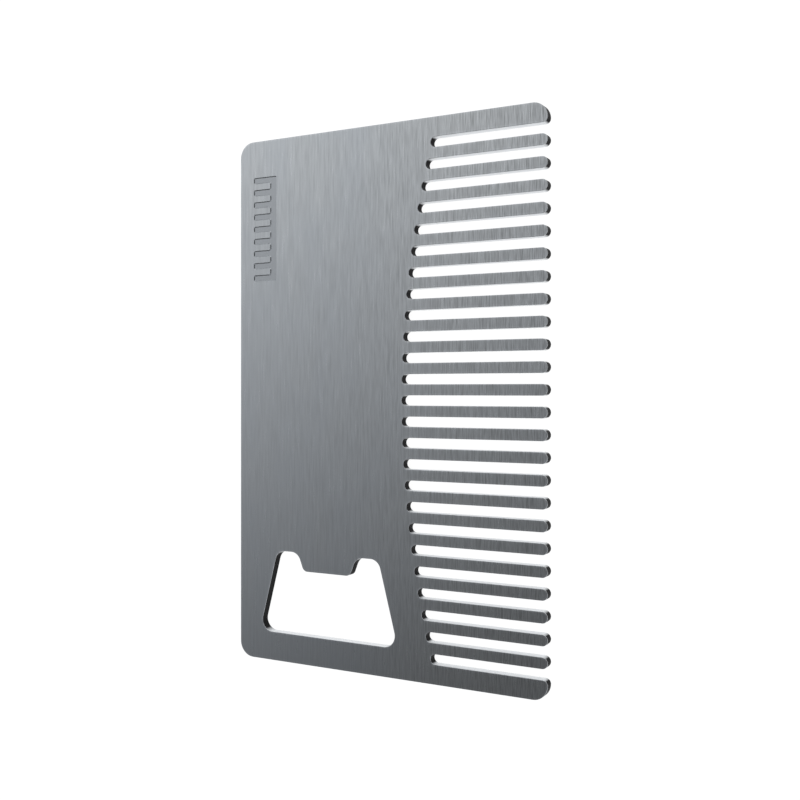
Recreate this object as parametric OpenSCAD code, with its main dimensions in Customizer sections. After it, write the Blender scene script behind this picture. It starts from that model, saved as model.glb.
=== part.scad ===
// Card-size beard comb with a bottle opener, cut from one sheet of stainless steel.
//
// Frame: the comb lies on its plain face, with Z up through the sheet and the marked face on top.
// X runs from the spine (-X) to the tooth tips (+X), and Y along the row of teeth, from the opener
// (-Y) to the mark (+Y). The origin is the middle of the plain face's bounding rectangle.
//
// The real comb is one piece. Its sheet is divided here at the roots of the teeth, so that every
// tooth is a simple convex solid. Neighbouring solids share a flat face and nothing moves.

/* [Card] */
// Width, from the spine to the tooth tips
card_w = 53.98; // [50:0.01:60]
// Length, along the row of teeth
card_l = 85.6; // [80:0.1:100]
// Thickness of the sheet
sheet_t = 1.5; // [0.8:0.1:2.5]
// Radius of the two corners at the spine
spine_corner_r = 2.5; // [0.5:0.1:6]

/* [Teeth] */
// Number of teeth, the two wide end teeth included
tooth_count = 26; // [10:2:32]
// Width of the slots between the teeth
slot_w = 1.57; // [1:0.01:1.8]
// Depth of a slot at the middle of the row, from the tips to its round end
middle_slot_depth = 23.54; // [20:0.01:24]
// Depth of the first and the last slot
end_slot_depth = 18.58; // [12:0.01:19.5]
// Radius of an end tooth's tip on its outer side
end_tip_outer_r = 2.25; // [1.8:0.05:2.6]
// Radius of an end tooth's tip on its inner side
end_tip_inner_r = 0.765; // [0.4:0.005:1.6]

/* [Opener] */
// Distance from the spine to the opener's centre line
opener_x = 16.87; // [15.5:0.01:17]
// Distance from the card's short edge to the opener's base
opener_y = 4.65; // [3:0.05:12]
// Width of the opener's base, between its sharp corners
opener_w = 25.88; // [24:0.01:27]
// Distance from the base to the tops of the two lobes
opener_l = 13.4; // [12.5:0.1:15]
// Lean of the opener's two sides from its centre line, in degrees
opener_lean = 14.5; // [8:0.5:16]
// Radius of the base corners
base_corner_r = 1.9; // [0.5:0.1:2.5]
// Radius of the corners at the tops of the lobes
lobe_corner_r = 1.8; // [0.5:0.1:1.8]

/* [Tongue] */
// Distance from the base to the end of the tongue that lifts the cap
tongue_y = 10.4; // [9.5:0.1:11]
// Width of the tongue's end, between its sharp corners
tongue_w = 8.64; // [7:0.01:9.2]
// Lean of the tongue's two sides from its centre line, in degrees
tongue_lean = 20.8; // [10:0.1:22]
// Radius of the tongue's corners
tongue_corner_r = 1; // [0.3:0.1:1]

/* [Hidden] */
$fn = 96;
STEEL = [0.52, 0.53, 0.54];

slot_count = tooth_count - 1;
end_tooth_w = end_tip_outer_r + end_tip_inner_r;
pitch = (card_l - 2 * end_tooth_w - slot_w) / (slot_count - 1);
tooth_w = pitch - slot_w;

// The slots end on one circle, which bows towards the spine.
half_chord = (slot_count - 1) / 2 * pitch;
sagitta = middle_slot_depth - end_slot_depth;
root_arc_r = (half_chord * half_chord + sagitta * sagitta) / (2 * sagitta);
root_arc_x = card_w - middle_slot_depth + root_arc_r;
// Straight stretch of slot that stays on the body, past the round end
root_land = 0.2;
// How far a cutting shape runs past what it cuts
over = 1;

TEETH = [for (i = [1 : tooth_count]) str("tooth_", i < 10 ? "0" : "", i)];

// The outlines below are drawn with x from the spine and y from the short edge by the opener.

// Slot i is the one between tooth i and tooth i + 1.
function slot_y(i) = end_tooth_w + slot_w / 2 + (i - 1) * pitch;
function slot_end_x(i) = root_arc_x - sqrt(pow(root_arc_r, 2) - pow(slot_y(i) - card_l / 2, 2));
// A tooth starts where the slots on both of its sides have their full width.
function root_x(i) =
    max(slot_end_x(max(i - 1, 1)), slot_end_x(min(i, slot_count))) + slot_w / 2 + root_land;

// Corners of an outline that is mirrored about x = 0, from the ones with x > 0.
function both_sides(right) = concat(
    right,
    [for (i = [len(right) - 1 : -1 : 0]) [-right[i].x, right[i].y, right[i].z]]
);

// A polygon whose corners are [x, y, radius], listed anticlockwise, with a true arc at each. The
// polygon's own points are where the arcs begin and end.
module rounded_polygon(corners) {
    count = len(corners);
    function at(i) = let (c = corners[(i + count) % count]) [c.x, c.y];
    function away(i, step) = let (d = at(i + step) - at(i)) d / norm(d);
    function turn(i) = cross(-away(i, -1), away(i, 1));
    function half_angle(i) = acos(away(i, -1) * away(i, 1)) / 2;
    function tangent(i, step) = at(i) + away(i, step) * corners[i].z / tan(half_angle(i));
    function arc_centre(i) =
        let (d = away(i, -1) + away(i, 1)) at(i) + d / norm(d) * corners[i].z / sin(half_angle(i));
    difference() {
        union() {
            polygon([for (i = [0 : count - 1], step = [-1, 1]) tangent(i, step)]);
            for (i = [0 : count - 1])
                if (turn(i) > 0) translate(arc_centre(i)) circle(corners[i].z);
        }
        for (i = [0 : count - 1])
            if (turn(i) < 0) translate(arc_centre(i)) circle(corners[i].z);
    }
}

// Raises an outline into the sheet.
module sheet() {
    translate([-card_w / 2, -card_l / 2, 0]) linear_extrude(sheet_t) children();
}

module opener_outline() {
    lobe_x = opener_w / 2 - opener_l * tan(opener_lean);
    tongue_root_x = tongue_w / 2 + (opener_l - tongue_y) * tan(tongue_lean);
    translate([opener_x, opener_y]) rounded_polygon(both_sides([
        [opener_w / 2, 0, base_corner_r],
        [lobe_x, opener_l, lobe_corner_r],
        [tongue_root_x, opener_l, lobe_corner_r],
        [tongue_w / 2, tongue_y, tongue_corner_r],
    ]));
}

module slot_outline(i) {
    translate([slot_end_x(i) + slot_w / 2, slot_y(i)]) {
        circle(d = slot_w);
        translate([0, -slot_w / 2]) square([middle_slot_depth, slot_w]);
    }
}

// The card with square corners at the tips, which the teeth replace
module card_outline() {
    translate([spine_corner_r, 0]) square([card_w - spine_corner_r, card_l]);
    translate([0, spine_corner_r]) square([card_w, card_l - 2 * spine_corner_r]);
    for (y = [spine_corner_r, card_l - spine_corner_r])
        translate([spine_corner_r, y]) circle(spine_corner_r);
}

// Everything that belongs to tooth i and lies beyond its root
module tooth_band(i) {
    from = i == 1 ? -over : slot_y(i - 1);
    to = i == tooth_count ? card_l + over : slot_y(i);
    translate([root_x(i), from]) square([card_w + over - root_x(i), to - from]);
}

// A straight tooth with a full round tip
module inner_tooth_outline(i) {
    straight_l = card_w - tooth_w / 2 - root_x(i);
    translate([root_x(i), slot_y(i - 1) + slot_w / 2]) {
        square([straight_l, tooth_w]);
        translate([straight_l, tooth_w / 2]) circle(d = tooth_w);
    }
}

// A quarter of a disc, in the quadrant that x_side and y_side name with 1 or -1
module quarter(r, x_side, y_side) {
    intersection() {
        circle(r);
        translate([x_side > 0 ? 0 : -2 * r, y_side > 0 ? 0 : -2 * r]) square(2 * r);
    }
}

// Its tip is one large arc on the outer side and one small arc on the inner side.
module first_tooth_outline() {
    translate([root_x(1), 0]) square([card_w - end_tip_outer_r - root_x(1), end_tooth_w]);
    translate([card_w - end_tip_outer_r, end_tip_outer_r]) {
        quarter(end_tip_outer_r, 1, -1);
        square([end_tip_outer_r - end_tip_inner_r, end_tip_inner_r]);
    }
    translate([card_w - end_tip_inner_r, end_tip_outer_r]) quarter(end_tip_inner_r, 1, 1);
}

module tooth_outline(i) {
    if (i == 1) first_tooth_outline();
    else if (i == tooth_count) translate([0, card_l]) mirror([0, 1]) first_tooth_outline();
    else inner_tooth_outline(i);
}

module body_plate() {
    color(STEEL) sheet() difference() {
        card_outline();
        opener_outline();
        for (i = [1 : slot_count]) slot_outline(i);
        for (i = [1 : tooth_count]) tooth_band(i);
    }
}

module tooth(i) {
    color(STEEL) sheet() tooth_outline(i);
}

body_plate();
for (i = [1 : tooth_count]) tooth(i);
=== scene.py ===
"""Looks of the card-size beard comb.

The real comb is one sheet of brushed steel, so one seamless mesh stands for all of the CAD's
regions. Lengths are in millimetres until they become vertices. The comb lies on its plain face: X
runs from the spine to the tooth tips, Y along the row of teeth, and Z up through the sheet.
"""

import math

import bpy
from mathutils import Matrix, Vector
from mathutils.geometry import delaunay_2d_cdt


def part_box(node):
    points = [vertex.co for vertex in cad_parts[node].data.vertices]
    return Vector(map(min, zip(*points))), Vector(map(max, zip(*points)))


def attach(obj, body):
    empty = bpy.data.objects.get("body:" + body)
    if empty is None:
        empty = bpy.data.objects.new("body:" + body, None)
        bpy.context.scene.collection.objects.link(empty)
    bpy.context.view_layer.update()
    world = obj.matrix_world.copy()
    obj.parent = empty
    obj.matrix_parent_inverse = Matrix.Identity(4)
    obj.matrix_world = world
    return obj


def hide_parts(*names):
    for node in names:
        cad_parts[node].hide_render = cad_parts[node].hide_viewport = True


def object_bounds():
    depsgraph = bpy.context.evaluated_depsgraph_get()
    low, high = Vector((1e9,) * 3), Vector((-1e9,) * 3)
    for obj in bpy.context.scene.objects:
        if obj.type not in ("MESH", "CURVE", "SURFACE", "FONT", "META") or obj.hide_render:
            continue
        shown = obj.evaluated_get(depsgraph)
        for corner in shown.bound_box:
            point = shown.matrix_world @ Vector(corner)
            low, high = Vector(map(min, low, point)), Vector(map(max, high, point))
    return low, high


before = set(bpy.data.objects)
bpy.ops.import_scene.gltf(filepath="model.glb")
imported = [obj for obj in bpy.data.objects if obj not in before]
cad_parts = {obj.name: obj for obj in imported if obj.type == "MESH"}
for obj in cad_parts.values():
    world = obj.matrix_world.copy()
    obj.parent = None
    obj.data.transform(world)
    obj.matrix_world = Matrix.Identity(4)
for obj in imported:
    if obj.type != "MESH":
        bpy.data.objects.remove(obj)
cad_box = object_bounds()

MM = 0.001
LOW, HIGH = (corner / MM for corner in cad_box)
SPINE_X, TIP_X = LOW.x, HIGH.x
OPENER_END_Y, MARK_END_Y = LOW.y, HIGH.y
PLAIN_Z, MARKED_Z = LOW.z, HIGH.z
MIDDLE_X = (SPINE_X + TIP_X) / 2
MIDDLE_Y = (OPENER_END_Y + MARK_END_Y) / 2
TOOTH_COUNT = sum(name.startswith("tooth_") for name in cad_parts)
TEETH = [[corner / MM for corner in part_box(f"tooth_{i + 1:02d}")] for i in range(TOOTH_COUNT)]

# Sheet
SPINE_CORNER_R = 2.5
EDGE_BREAK = 0.06
ARC_STEP = math.radians(6)
EDGE_BREAK_STEPS = 4
WORN_BORDER = 0.3

# Teeth: the depths of the middle slot and of the two end slots, from the tips to their round ends
MIDDLE_SLOT_DEPTH = 23.54
END_SLOT_DEPTH = 18.58
END_TIP_OUTER_R = 2.25

# Opener window, from its centre line and its base
OPENER_X = SPINE_X + 16.87
OPENER_Y = OPENER_END_Y + 4.65
OPENER_W = 25.88
OPENER_L = 13.4
OPENER_LEAN = math.radians(14.5)
BASE_CORNER_R = 1.9
LOBE_CORNER_R = 1.8
TONGUE_Y = 10.4
TONGUE_W = 8.64
TONGUE_LEAN = math.radians(20.8)
TONGUE_CORNER_R = 1.0

# Etched mark near the spine's upper end: a plain picture of a comb
MARK_X = SPINE_X + 2.7
MARK_END = MARK_END_Y - 6.0
MARK_LENGTH = 17.2
MARK_W = 4.6
MARK_SPINE_W = 1.3
MARK_TEETH = 9
MARK_TOOTH_SHARE = 0.52
MARK_CORNER_R = 0.25
MARK_DEPTH = 0.09
MARK_FILLET = 0.03
MARK_WALL_TILT = math.radians(35)

# Colours of the steel, each from its darker to its lighter grain
FACE_GREYS = ((0.289, 0.30, 0.307), (0.784, 0.815, 0.833))
# The cut walls' two colours are painted shade (near black) and painted light (bright). A wall
# takes one or the other by which way it faces in the comb's frame, not from the lamps.
PAINTED_SHADE_WALL = ((0.003, 0.003, 0.0035), (0.01, 0.01, 0.011))
PAINTED_LIT_WALL = ((0.70, 0.72, 0.74), (0.85, 0.87, 0.89))
MARK_FLOOR = ((0.38, 0.40, 0.42), (0.50, 0.53, 0.56))
COOL_TINT = (0.50, 0.54, 0.585)
# The tint fades out between these two X on the way to the teeth.
BODY_FADE = (-5.0, 12.0)
WORN_STEEL = (0.76, 0.79, 0.82)

# Camera, placed from the middle of the marked face
CAMERA_TILT = math.radians(28)
CAMERA_PLACE = (75.0, 1.55, 135.0)
CAMERA_LENS = 44.87
CAMERA_SHIFT_Y = -0.0121

# Stage: how far the floor goes from the origin each way, and how far it lies under the comb
FLOOR_REACH = 3000.0
FLOOR_GAP = 0.02
SURROUND_WHITE = (1.05, 1.05, 1.05)

# What the steel mirrors, by how far its direction goes along the axis: towards the mark's end, and
# three quarters as much towards the spine. The levels were tuned.
GLOSS_AXIS = (-0.75, 1, 0)
GLOSS_LEVELS = [
    (-1.2, 0.6),
    (-0.8, 0.5),
    (-0.4, 0.03),
    (0.0, 0.02),
    (0.1, 0.095),
    (0.17, 0.18),
    (0.25, 0.25),
    (0.33, 0.33),
    (0.42, 0.44),
    (0.52, 0.56),
    (0.66, 0.86),
    (0.82, 1.2),
    (0.95, 0.9),
    (1.2, 0.4),
]
# How much bluer the mirrored light is where it is darkest
GLOSS_COOLNESS = 0.07


# ---- outlines ----


def rounded_path(corners):
    """Points round a closed polygon of (x, y, radius) corners, each with its right-hand normal."""
    path = []
    for i, (x, y, radius) in enumerate(corners):
        here = Vector((x, y))
        before = Vector(corners[i - 1][:2])
        after = Vector(corners[(i + 1) % len(corners)][:2])
        way_in, way_out = (here - before).normalized(), (after - here).normalized()
        turn = math.atan2(way_in.x * way_out.y - way_in.y * way_out.x, way_in.dot(way_out))
        side = math.copysign(1, turn)
        right = Vector((way_in.y, -way_in.x))
        start = here - way_in * radius * math.tan(abs(turn) / 2)
        centre = start - right * radius * side
        steps = max(2, math.ceil(abs(turn) / ARC_STEP))
        for k in range(steps + 1):
            a = turn * k / steps
            normal = Vector(
                (
                    right.x * math.cos(a) - right.y * math.sin(a),
                    right.x * math.sin(a) + right.y * math.cos(a),
                )
            )
            path.append((centre + normal * radius * side, normal))
    return without_repeats(path)


def without_repeats(path):
    """The path without points that coincide with the one before."""
    return [p for i, p in enumerate(path) if (p[0] - path[i - 1][0]).length > 1e-5]


def reversed_path(path):
    """The same path the other way round, so that its normals point into what it encloses."""
    return [(point, -normal) for point, normal in reversed(path)]


def slot_end_x(y):
    """Where a slot at y ends: on a circle that bows towards the spine."""
    first_y = (TEETH[0][1].y + TEETH[1][0].y) / 2
    sagitta = MIDDLE_SLOT_DEPTH - END_SLOT_DEPTH
    half_chord = MIDDLE_Y - first_y
    radius = (half_chord**2 + sagitta**2) / (2 * sagitta)
    centre_x = TIP_X - MIDDLE_SLOT_DEPTH + radius
    return centre_x - math.sqrt(radius**2 - (y - MIDDLE_Y) ** 2)


def sheet_outline():
    """The comb's whole outline, anticlockwise as seen from above."""
    corners = [(SPINE_X, OPENER_END_Y, SPINE_CORNER_R)]
    for i, (low, high) in enumerate(TEETH):
        width = high.y - low.y
        lower_r = upper_r = width / 2
        if i == 0:
            lower_r, upper_r = END_TIP_OUTER_R, width - END_TIP_OUTER_R
        if i == TOOTH_COUNT - 1:
            lower_r, upper_r = width - END_TIP_OUTER_R, END_TIP_OUTER_R
        corners += [(TIP_X, low.y, lower_r), (TIP_X, high.y, upper_r)]
        if i < TOOTH_COUNT - 1:
            next_y = TEETH[i + 1][0].y
            slot_r = (next_y - high.y) / 2
            end_x = slot_end_x(high.y + slot_r)
            corners += [(end_x, high.y, slot_r), (end_x, next_y, slot_r)]
    corners.append((SPINE_X, MARK_END_Y, SPINE_CORNER_R))
    return rounded_path(corners)


def opener_outline():
    """The opener window, anticlockwise: a base, leaning sides, and a tongue between two lobes."""
    lobe_x = OPENER_W / 2 - OPENER_L * math.tan(OPENER_LEAN)
    tongue_root_x = TONGUE_W / 2 + (OPENER_L - TONGUE_Y) * math.tan(TONGUE_LEAN)
    right = [
        (OPENER_W / 2, 0, BASE_CORNER_R),
        (lobe_x, OPENER_L, LOBE_CORNER_R),
        (tongue_root_x, OPENER_L, LOBE_CORNER_R),
        (TONGUE_W / 2, TONGUE_Y, TONGUE_CORNER_R),
    ]
    left = [(-x, y, radius) for x, y, radius in reversed(right)]
    return rounded_path([(OPENER_X + x, OPENER_Y + y, radius) for x, y, radius in right + left])


def mark_outline():
    """A comb's outline: a bar on the right with teeth that point at the spine."""
    pitch = MARK_LENGTH / (MARK_TEETH - 1 + MARK_TOOTH_SHARE)
    tooth = pitch * MARK_TOOTH_SHARE
    start = MARK_END - MARK_LENGTH
    bar_x = MARK_X + MARK_W - MARK_SPINE_W
    right_x = MARK_X + MARK_W
    corners = [(right_x, start, MARK_CORNER_R), (right_x, MARK_END, MARK_CORNER_R)]
    for i in reversed(range(MARK_TEETH)):
        low, high = start + i * pitch, start + i * pitch + tooth
        if i < MARK_TEETH - 1:
            corners.append((bar_x, high, MARK_CORNER_R))
        corners += [(MARK_X, high, MARK_CORNER_R), (MARK_X, low, MARK_CORNER_R)]
        if i > 0:
            corners.append((bar_x, low, MARK_CORNER_R))
    return rounded_path(corners)


# ---- mesh ----


def enclosed(point, corners, sides):
    """Whether a ray from the point crosses the sides an odd number of times."""
    crossings = 0
    for i, k in sides:
        a, b = corners[i], corners[k]
        if (a.y > point.y) != (b.y > point.y):
            crossings += point.x < a.x + (b.x - a.x) * (point.y - a.y) / (b.y - a.y)
    return crossings % 2 == 1


class Sheet:
    """Vertices with exact normals and a wear value, and faces with a material each."""

    def __init__(self):
        self.points, self.normals, self.wear = [], [], []
        self.faces, self.materials = [], []

    def ring(self, path, out, z, tilt, wear):
        """One vertex for each point of the path, moved out of the metal by out. Tilt is the
        normal's angle from straight up."""
        first = len(self.points)
        for point, normal in path:
            self.points.append((*(point + normal * out), z))
            self.normals.append((*(normal * math.sin(tilt)), math.cos(tilt)))
            self.wear.append(wear)
        return list(range(first, len(self.points)))

    def strip(self, near, far, material):
        """Quads between two rings, of which the near one comes first on the way down."""
        count = len(near)
        for i in range(count):
            k = (i + 1) % count
            self.faces.append((near[i], far[i], far[k], near[k]))
            self.materials.append(material)

    def fill(self, rings, facing, material):
        """Triangles that fill a flat outline with holes; facing is 1 for up and -1 for down."""
        flat = [index for ring in rings for index in ring]
        order = {index: k for k, index in enumerate(flat)}
        sides = [(order[ring[k - 1]], order[ring[k]]) for ring in rings for k in range(len(ring))]
        corners = [Vector(self.points[index][:2]) for index in flat]
        found = delaunay_2d_cdt(corners, sides, [], INSIDE_OUTLINE, 1e-6)
        triangles, sources = found[2], found[3]
        for triangle in triangles:
            a, b, c = (sources[k][0] for k in triangle)
            pa, pb, pc = (corners[k] for k in (a, b, c))
            if not enclosed((pa + pb + pc) / 3, corners, sides):
                continue
            across = (pb - pa).cross(pc - pa)
            turned = (a, b, c) if across * facing > 0 else (a, c, b)
            self.faces.append(tuple(flat[k] for k in turned))
            self.materials.append(material)

    def rings(self, path, profile):
        """Rings along a profile of (out, z, tilt, wear, material), joined by strips."""
        made = [self.ring(path, *step[:4]) for step in profile]
        for near, far, step in zip(made, made[1:], profile[1:]):
            self.strip(near, far, step[4])
        return made[0], made[-1]

    def mesh(self, name, materials):
        """Blender's mesh of it all, in metres."""
        data = bpy.data.meshes.new(name)
        data.from_pydata([[c * MM for c in p] for p in self.points], [], self.faces)
        for material in materials:
            data.materials.append(material)
        data.polygons.foreach_set("material_index", self.materials)
        data.polygons.foreach_set("use_smooth", [True] * len(self.faces))
        data.attributes.new("wear", "FLOAT", "POINT").data.foreach_set("value", self.wear)
        data.update()
        data.normals_split_custom_set_from_vertices(self.normals)
        return data


# Which of the sheet's three materials a face takes
FACE, CUT, ETCHED = range(3)
# What delaunay_2d_cdt calls the triangles inside an outline, those in its holes included
INSIDE_OUTLINE = 1


def edge_profile():
    """From a ring on the marked face, round the broken edge, through the sheet and back."""
    half = [(-EDGE_BREAK - WORN_BORDER, 0, 0, 0.0, FACE)]
    for k in range(EDGE_BREAK_STEPS + 1):
        tilt = math.pi / 2 * k / EDGE_BREAK_STEPS
        out = -EDGE_BREAK * (1 - math.sin(tilt))
        depth = EDGE_BREAK * (1 - math.cos(tilt))
        half.append((out, depth, tilt, 1.0, FACE))
    upper = [(out, MARKED_Z - depth, tilt, wear, m) for out, depth, tilt, wear, m in half]
    lower = [(out, PLAIN_Z + depth, math.pi - tilt, wear, m) for out, depth, tilt, wear, m in half]
    lower.reverse()
    # The strip that ends at the first lower ring is the cut wall.
    lower[0] = (*lower[0][:4], CUT)
    return upper + lower


def mark_profile():
    """From the marked face, over a small round edge, down a sloping wall to the etched floor."""
    steps = 3
    tilts = [MARK_WALL_TILT * k / steps for k in range(steps + 1)]
    over = [(MARK_FILLET * math.sin(t), MARK_FILLET * (1 - math.cos(t)), t) for t in tilts]
    slope = (MARK_DEPTH - 2 * over[-1][1]) / math.tan(MARK_WALL_TILT)
    floor_out = 2 * over[-1][0] + slope
    under = [(floor_out - out, MARK_DEPTH - depth, t) for out, depth, t in reversed(over)]
    return [(out, MARKED_Z - depth, tilt, 0.0, FACE) for out, depth, tilt in over + under]


def comb_sheet(materials):
    """The whole comb: faces, broken edges, cut walls, and the etched mark."""
    sheet = Sheet()
    loops = [sheet_outline(), reversed_path(opener_outline())]
    ends = [sheet.rings(path, edge_profile()) for path in loops]
    mark_top, mark_floor = sheet.rings(reversed_path(mark_outline()), mark_profile())
    sheet.fill([upper for upper, lower in ends] + [mark_top], 1, FACE)
    sheet.fill([lower for upper, lower in ends], -1, FACE)
    sheet.fill([mark_floor], 1, ETCHED)
    piece = bpy.data.objects.new("comb_sheet", sheet.mesh("comb_sheet", materials))
    bpy.context.collection.objects.link(piece)
    return piece


# ---- materials ----


def new_material(name):
    """A new material, with its node tree and its shader."""
    material = bpy.data.materials.new(name)
    material.use_nodes = True
    return material, material.node_tree, material.node_tree.nodes["Principled BSDF"]


def streaks(tree, width, length, seed):
    """Noise that is drawn out along the row of teeth, as brushing leaves it. Sizes in mm."""
    where = tree.nodes.new("ShaderNodeTexCoord")
    place = tree.nodes.new("ShaderNodeMapping")
    place.inputs["Location"].default_value = (seed, seed * 2.3, seed * 0.7)
    place.inputs["Scale"].default_value = (1 / (width * MM), 1 / (length * MM), 1 / (width * MM))
    tree.links.new(where.outputs["Object"], place.inputs["Vector"])
    noise = tree.nodes.new("ShaderNodeTexNoise")
    noise.inputs["Scale"].default_value = 1.0
    noise.inputs["Detail"].default_value = 2.0
    tree.links.new(place.outputs["Vector"], noise.inputs["Vector"])
    return noise.outputs["Fac"]


def remap(tree, value, low, high, from_low=0.3, from_high=0.7):
    """The value, taken from one range to another and held inside it."""
    node = tree.nodes.new("ShaderNodeMapRange")
    for name, number in zip(
        ("From Min", "From Max", "To Min", "To Max"), (from_low, from_high, low, high)
    ):
        node.inputs[name].default_value = number
    tree.links.new(value, node.inputs["Value"])
    return node.outputs["Result"]


def combine(tree, operation, a, b):
    """One step of arithmetic with numbers or sockets."""
    node = tree.nodes.new("ShaderNodeMath")
    node.operation = operation
    for socket, value in zip(node.inputs, (a, b)):
        if isinstance(value, (int, float)):
            socket.default_value = value
        else:
            tree.links.new(value, socket)
    return node.outputs["Value"]


def between(tree, factor, a, b):
    """A number between a and b."""
    step = combine(tree, "SUBTRACT", b, a)
    return combine(tree, "ADD", a, combine(tree, "MULTIPLY", step, factor))


def mixed(tree, factor, a, b):
    """A colour between a and b."""
    node = tree.nodes.new("ShaderNodeMix")
    node.data_type = "RGBA"
    tree.links.new(factor, node.inputs["Factor"])
    for name, colour in (("A", a), ("B", b)):
        socket = next(s for s in node.inputs if s.name == name and s.type == "RGBA")
        if isinstance(colour, tuple):
            socket.default_value = (*colour, 1.0)
        else:
            tree.links.new(colour, socket)
    return next(s for s in node.outputs if s.type == "RGBA")


def coordinate(tree, kind, axis):
    """One axis in the comb's own frame: of a place, in metres ("Object"), or of a "Normal"."""
    where = tree.nodes.new("ShaderNodeTexCoord")
    split = tree.nodes.new("ShaderNodeSeparateXYZ")
    tree.links.new(where.outputs[kind], split.inputs["Vector"])
    return split.outputs[axis]


def add_relief(tree, shader, height, strength, depth):
    """Bump from noise, of a depth in mm."""
    bump = tree.nodes.new("ShaderNodeBump")
    bump.inputs["Strength"].default_value = strength
    bump.inputs["Distance"].default_value = depth * MM
    tree.links.new(height, bump.inputs["Height"])
    tree.links.new(bump.outputs["Normal"], shader.inputs["Normal"])


def worn_edge(tree, noise):
    """How worn a point is: up to half at an edge, in patches, and nothing inside the sheet."""
    wear = tree.nodes.new("ShaderNodeAttribute")
    wear.attribute_name = "wear"
    return combine(tree, "MULTIPLY", wear.outputs["Fac"], remap(tree, noise, 0.1, 0.5))


def brushed_steel():
    """The faces, brushed along the row of teeth: softly at the spine, crisply at the tips."""
    material, tree, shader = new_material("brushed_steel")
    fine = streaks(tree, 0.13, 2.4, 1.0)
    strokes = streaks(tree, 0.34, 6.5, 5.0)
    clouds = streaks(tree, 5.0, 11.0, 13.0)
    along = coordinate(tree, "Object", "X")
    share = remap(tree, along, 0.2, 0.8, SPINE_X * MM, TIP_X * MM)
    contrast = remap(tree, along, 0.32, 1.27, SPINE_X * MM, TIP_X * MM)
    both = between(tree, share, strokes, fine)
    swing = combine(tree, "MULTIPLY", combine(tree, "SUBTRACT", both, 0.5), contrast)
    level = combine(tree, "ADD", swing, 0.5)
    grey = mixed(tree, remap(tree, level, 0, 1, 0.2, 0.8), *FACE_GREYS)
    body = remap(tree, along, 1, 0, *(x * MM for x in BODY_FADE))
    cool = combine(tree, "MULTIPLY", remap(tree, clouds, 0.25, 0.45), body)
    tinted = mixed(tree, cool, grey, COOL_TINT)
    worn = mixed(tree, worn_edge(tree, strokes), tinted, WORN_STEEL)
    tree.links.new(worn, shader.inputs["Base Color"])
    shader.inputs["Metallic"].default_value = 1.0
    shader.inputs["Anisotropic"].default_value = 0.6
    tree.links.new(remap(tree, both, 0.36, 0.26), shader.inputs["Roughness"])
    add_relief(tree, shader, both, 0.3, 0.004)
    across = tree.nodes.new("ShaderNodeCombineXYZ")
    across.inputs["X"].default_value = 1.0
    tree.links.new(across.outputs["Vector"], shader.inputs["Tangent"])
    return material


def cut_edge():
    """The cut walls, with painted shade and painted light chosen by which way they face: painted
    near black where they face along X, as at the tips and roots, and painted bright where they
    face along Y, as in the slots."""
    material, tree, shader = new_material("cut_edge")
    grain = streaks(tree, 0.12, 0.12, 3.0)
    # Painted light and shade: the share of the painted bright colour grows the more a wall faces
    # along Y.
    along_slot = combine(tree, "ABSOLUTE", coordinate(tree, "Normal", "Y"), 0)
    painted_light_share = remap(tree, along_slot, 0, 1, 0.75, 1.0)
    dark = mixed(tree, grain, *PAINTED_SHADE_WALL)
    bright = mixed(tree, grain, *PAINTED_LIT_WALL)
    tree.links.new(mixed(tree, painted_light_share, dark, bright), shader.inputs["Base Color"])
    tree.links.new(painted_light_share, shader.inputs["Metallic"])
    tree.links.new(remap(tree, grain, 0.4, 0.6), shader.inputs["Roughness"])
    shader.inputs["Specular IOR Level"].default_value = 0.05
    add_relief(tree, shader, grain, 0.4, 0.01)
    return material


def etched_steel():
    """The mark's floor, dull and a little darker than the face."""
    material, tree, shader = new_material("etched_steel")
    shader.inputs["Metallic"].default_value = 1.0
    grain = streaks(tree, 0.15, 0.6, 7.0)
    tree.links.new(mixed(tree, grain, *MARK_FLOOR), shader.inputs["Base Color"])
    tree.links.new(remap(tree, grain, 0.36, 0.48), shader.inputs["Roughness"])
    add_relief(tree, shader, grain, 0.4, 0.008)
    return material


# ---- stage ----


def floor():
    """A white floor that is lit from within, as a light table is, so that no shadow shows on it.
    It mirrors and scatters little: nearly all of its white is its own light."""
    signs = [(-1, -1), (1, -1), (1, 1), (-1, 1)]
    reach, floor_z = FLOOR_REACH * MM, (PLAIN_Z - FLOOR_GAP) * MM
    corners = [(x * reach, y * reach, floor_z) for x, y in signs]
    data = bpy.data.meshes.new("floor")
    data.from_pydata(corners, [], [(0, 1, 2, 3)])
    material, tree, shader = new_material("floor")
    shader.inputs["Base Color"].default_value = (0.1, 0.1, 0.1, 1)
    shader.inputs["Roughness"].default_value = 0.9
    shader.inputs["Emission Color"].default_value = (1, 1, 1, 1)
    shader.inputs["Emission Strength"].default_value = 0.95
    data.materials.append(material)
    piece = bpy.data.objects.new("floor", data)
    bpy.context.collection.objects.link(piece)


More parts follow.
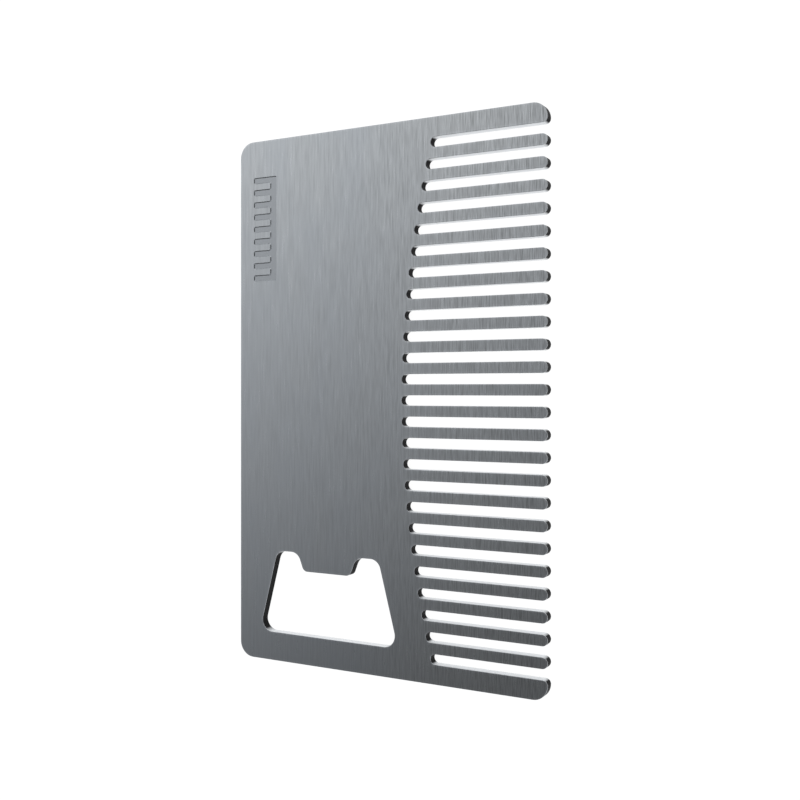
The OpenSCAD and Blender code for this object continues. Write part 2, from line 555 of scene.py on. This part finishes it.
def studio():
    """White surroundings. Only glossy rays meet the gradient instead, so the steel mirrors a soft
    light that fades, and turns a little bluer, to one side."""
    world = bpy.data.worlds.new("studio")
    bpy.context.scene.world = world
    world.use_nodes = True
    tree = world.node_tree
    tree.nodes.clear()
    where = tree.nodes.new("ShaderNodeTexCoord")
    along = tree.nodes.new("ShaderNodeVectorMath")
    along.operation = "DOT_PRODUCT"
    along.inputs[1].default_value = GLOSS_AXIS
    tree.links.new(where.outputs["Generated"], along.inputs[0])
    ramp = tree.nodes.new("ShaderNodeValToRGB")
    first, last = GLOSS_LEVELS[0][0], GLOSS_LEVELS[-1][0]
    tree.links.new(remap(tree, along.outputs["Value"], 0, 1, first, last), ramp.inputs["Fac"])
    stops = [((far - first) / (last - first), level) for far, level in GLOSS_LEVELS]
    ramp.color_ramp.elements[0].position = stops[0][0]
    ramp.color_ramp.elements[1].position = stops[-1][0]
    for position, _ in stops[1:-1]:
        ramp.color_ramp.elements.new(position)
    for element, (_, level) in zip(ramp.color_ramp.elements, stops):
        cool = GLOSS_COOLNESS * (1 - min(level, 1))
        element.color = (level * (1 - cool / 2), level, level * (1 + cool), 1)
    path = tree.nodes.new("ShaderNodeLightPath")
    surround = mixed(tree, path.outputs["Is Glossy Ray"], SURROUND_WHITE, ramp.outputs["Color"])
    background = tree.nodes.new("ShaderNodeBackground")
    tree.links.new(surround, background.inputs["Color"])
    output = tree.nodes.new("ShaderNodeOutputWorld")
    tree.links.new(background.outputs["Background"], output.inputs["Surface"])


def camera():
    """Over the comb, tilted towards the tips, with the mark's end at the top of the picture."""
    data = bpy.data.cameras.new("camera")
    data.lens = CAMERA_LENS
    data.shift_y = CAMERA_SHIFT_Y
    data.clip_start, data.clip_end = 0.01, 20
    eye = bpy.data.objects.new("camera", data)
    x, y, z = CAMERA_PLACE
    eye.location = Vector((MIDDLE_X + x, MIDDLE_Y + y, MARKED_Z + z)) * MM
    eye.rotation_euler = (0, CAMERA_TILT, 0)
    bpy.context.collection.objects.link(eye)
    bpy.context.scene.camera = eye
    bpy.context.scene.view_settings.view_transform = "Standard"


camera()
floor()
studio()
comb = comb_sheet([brushed_steel(), cut_edge(), etched_steel()])
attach(comb, "root")
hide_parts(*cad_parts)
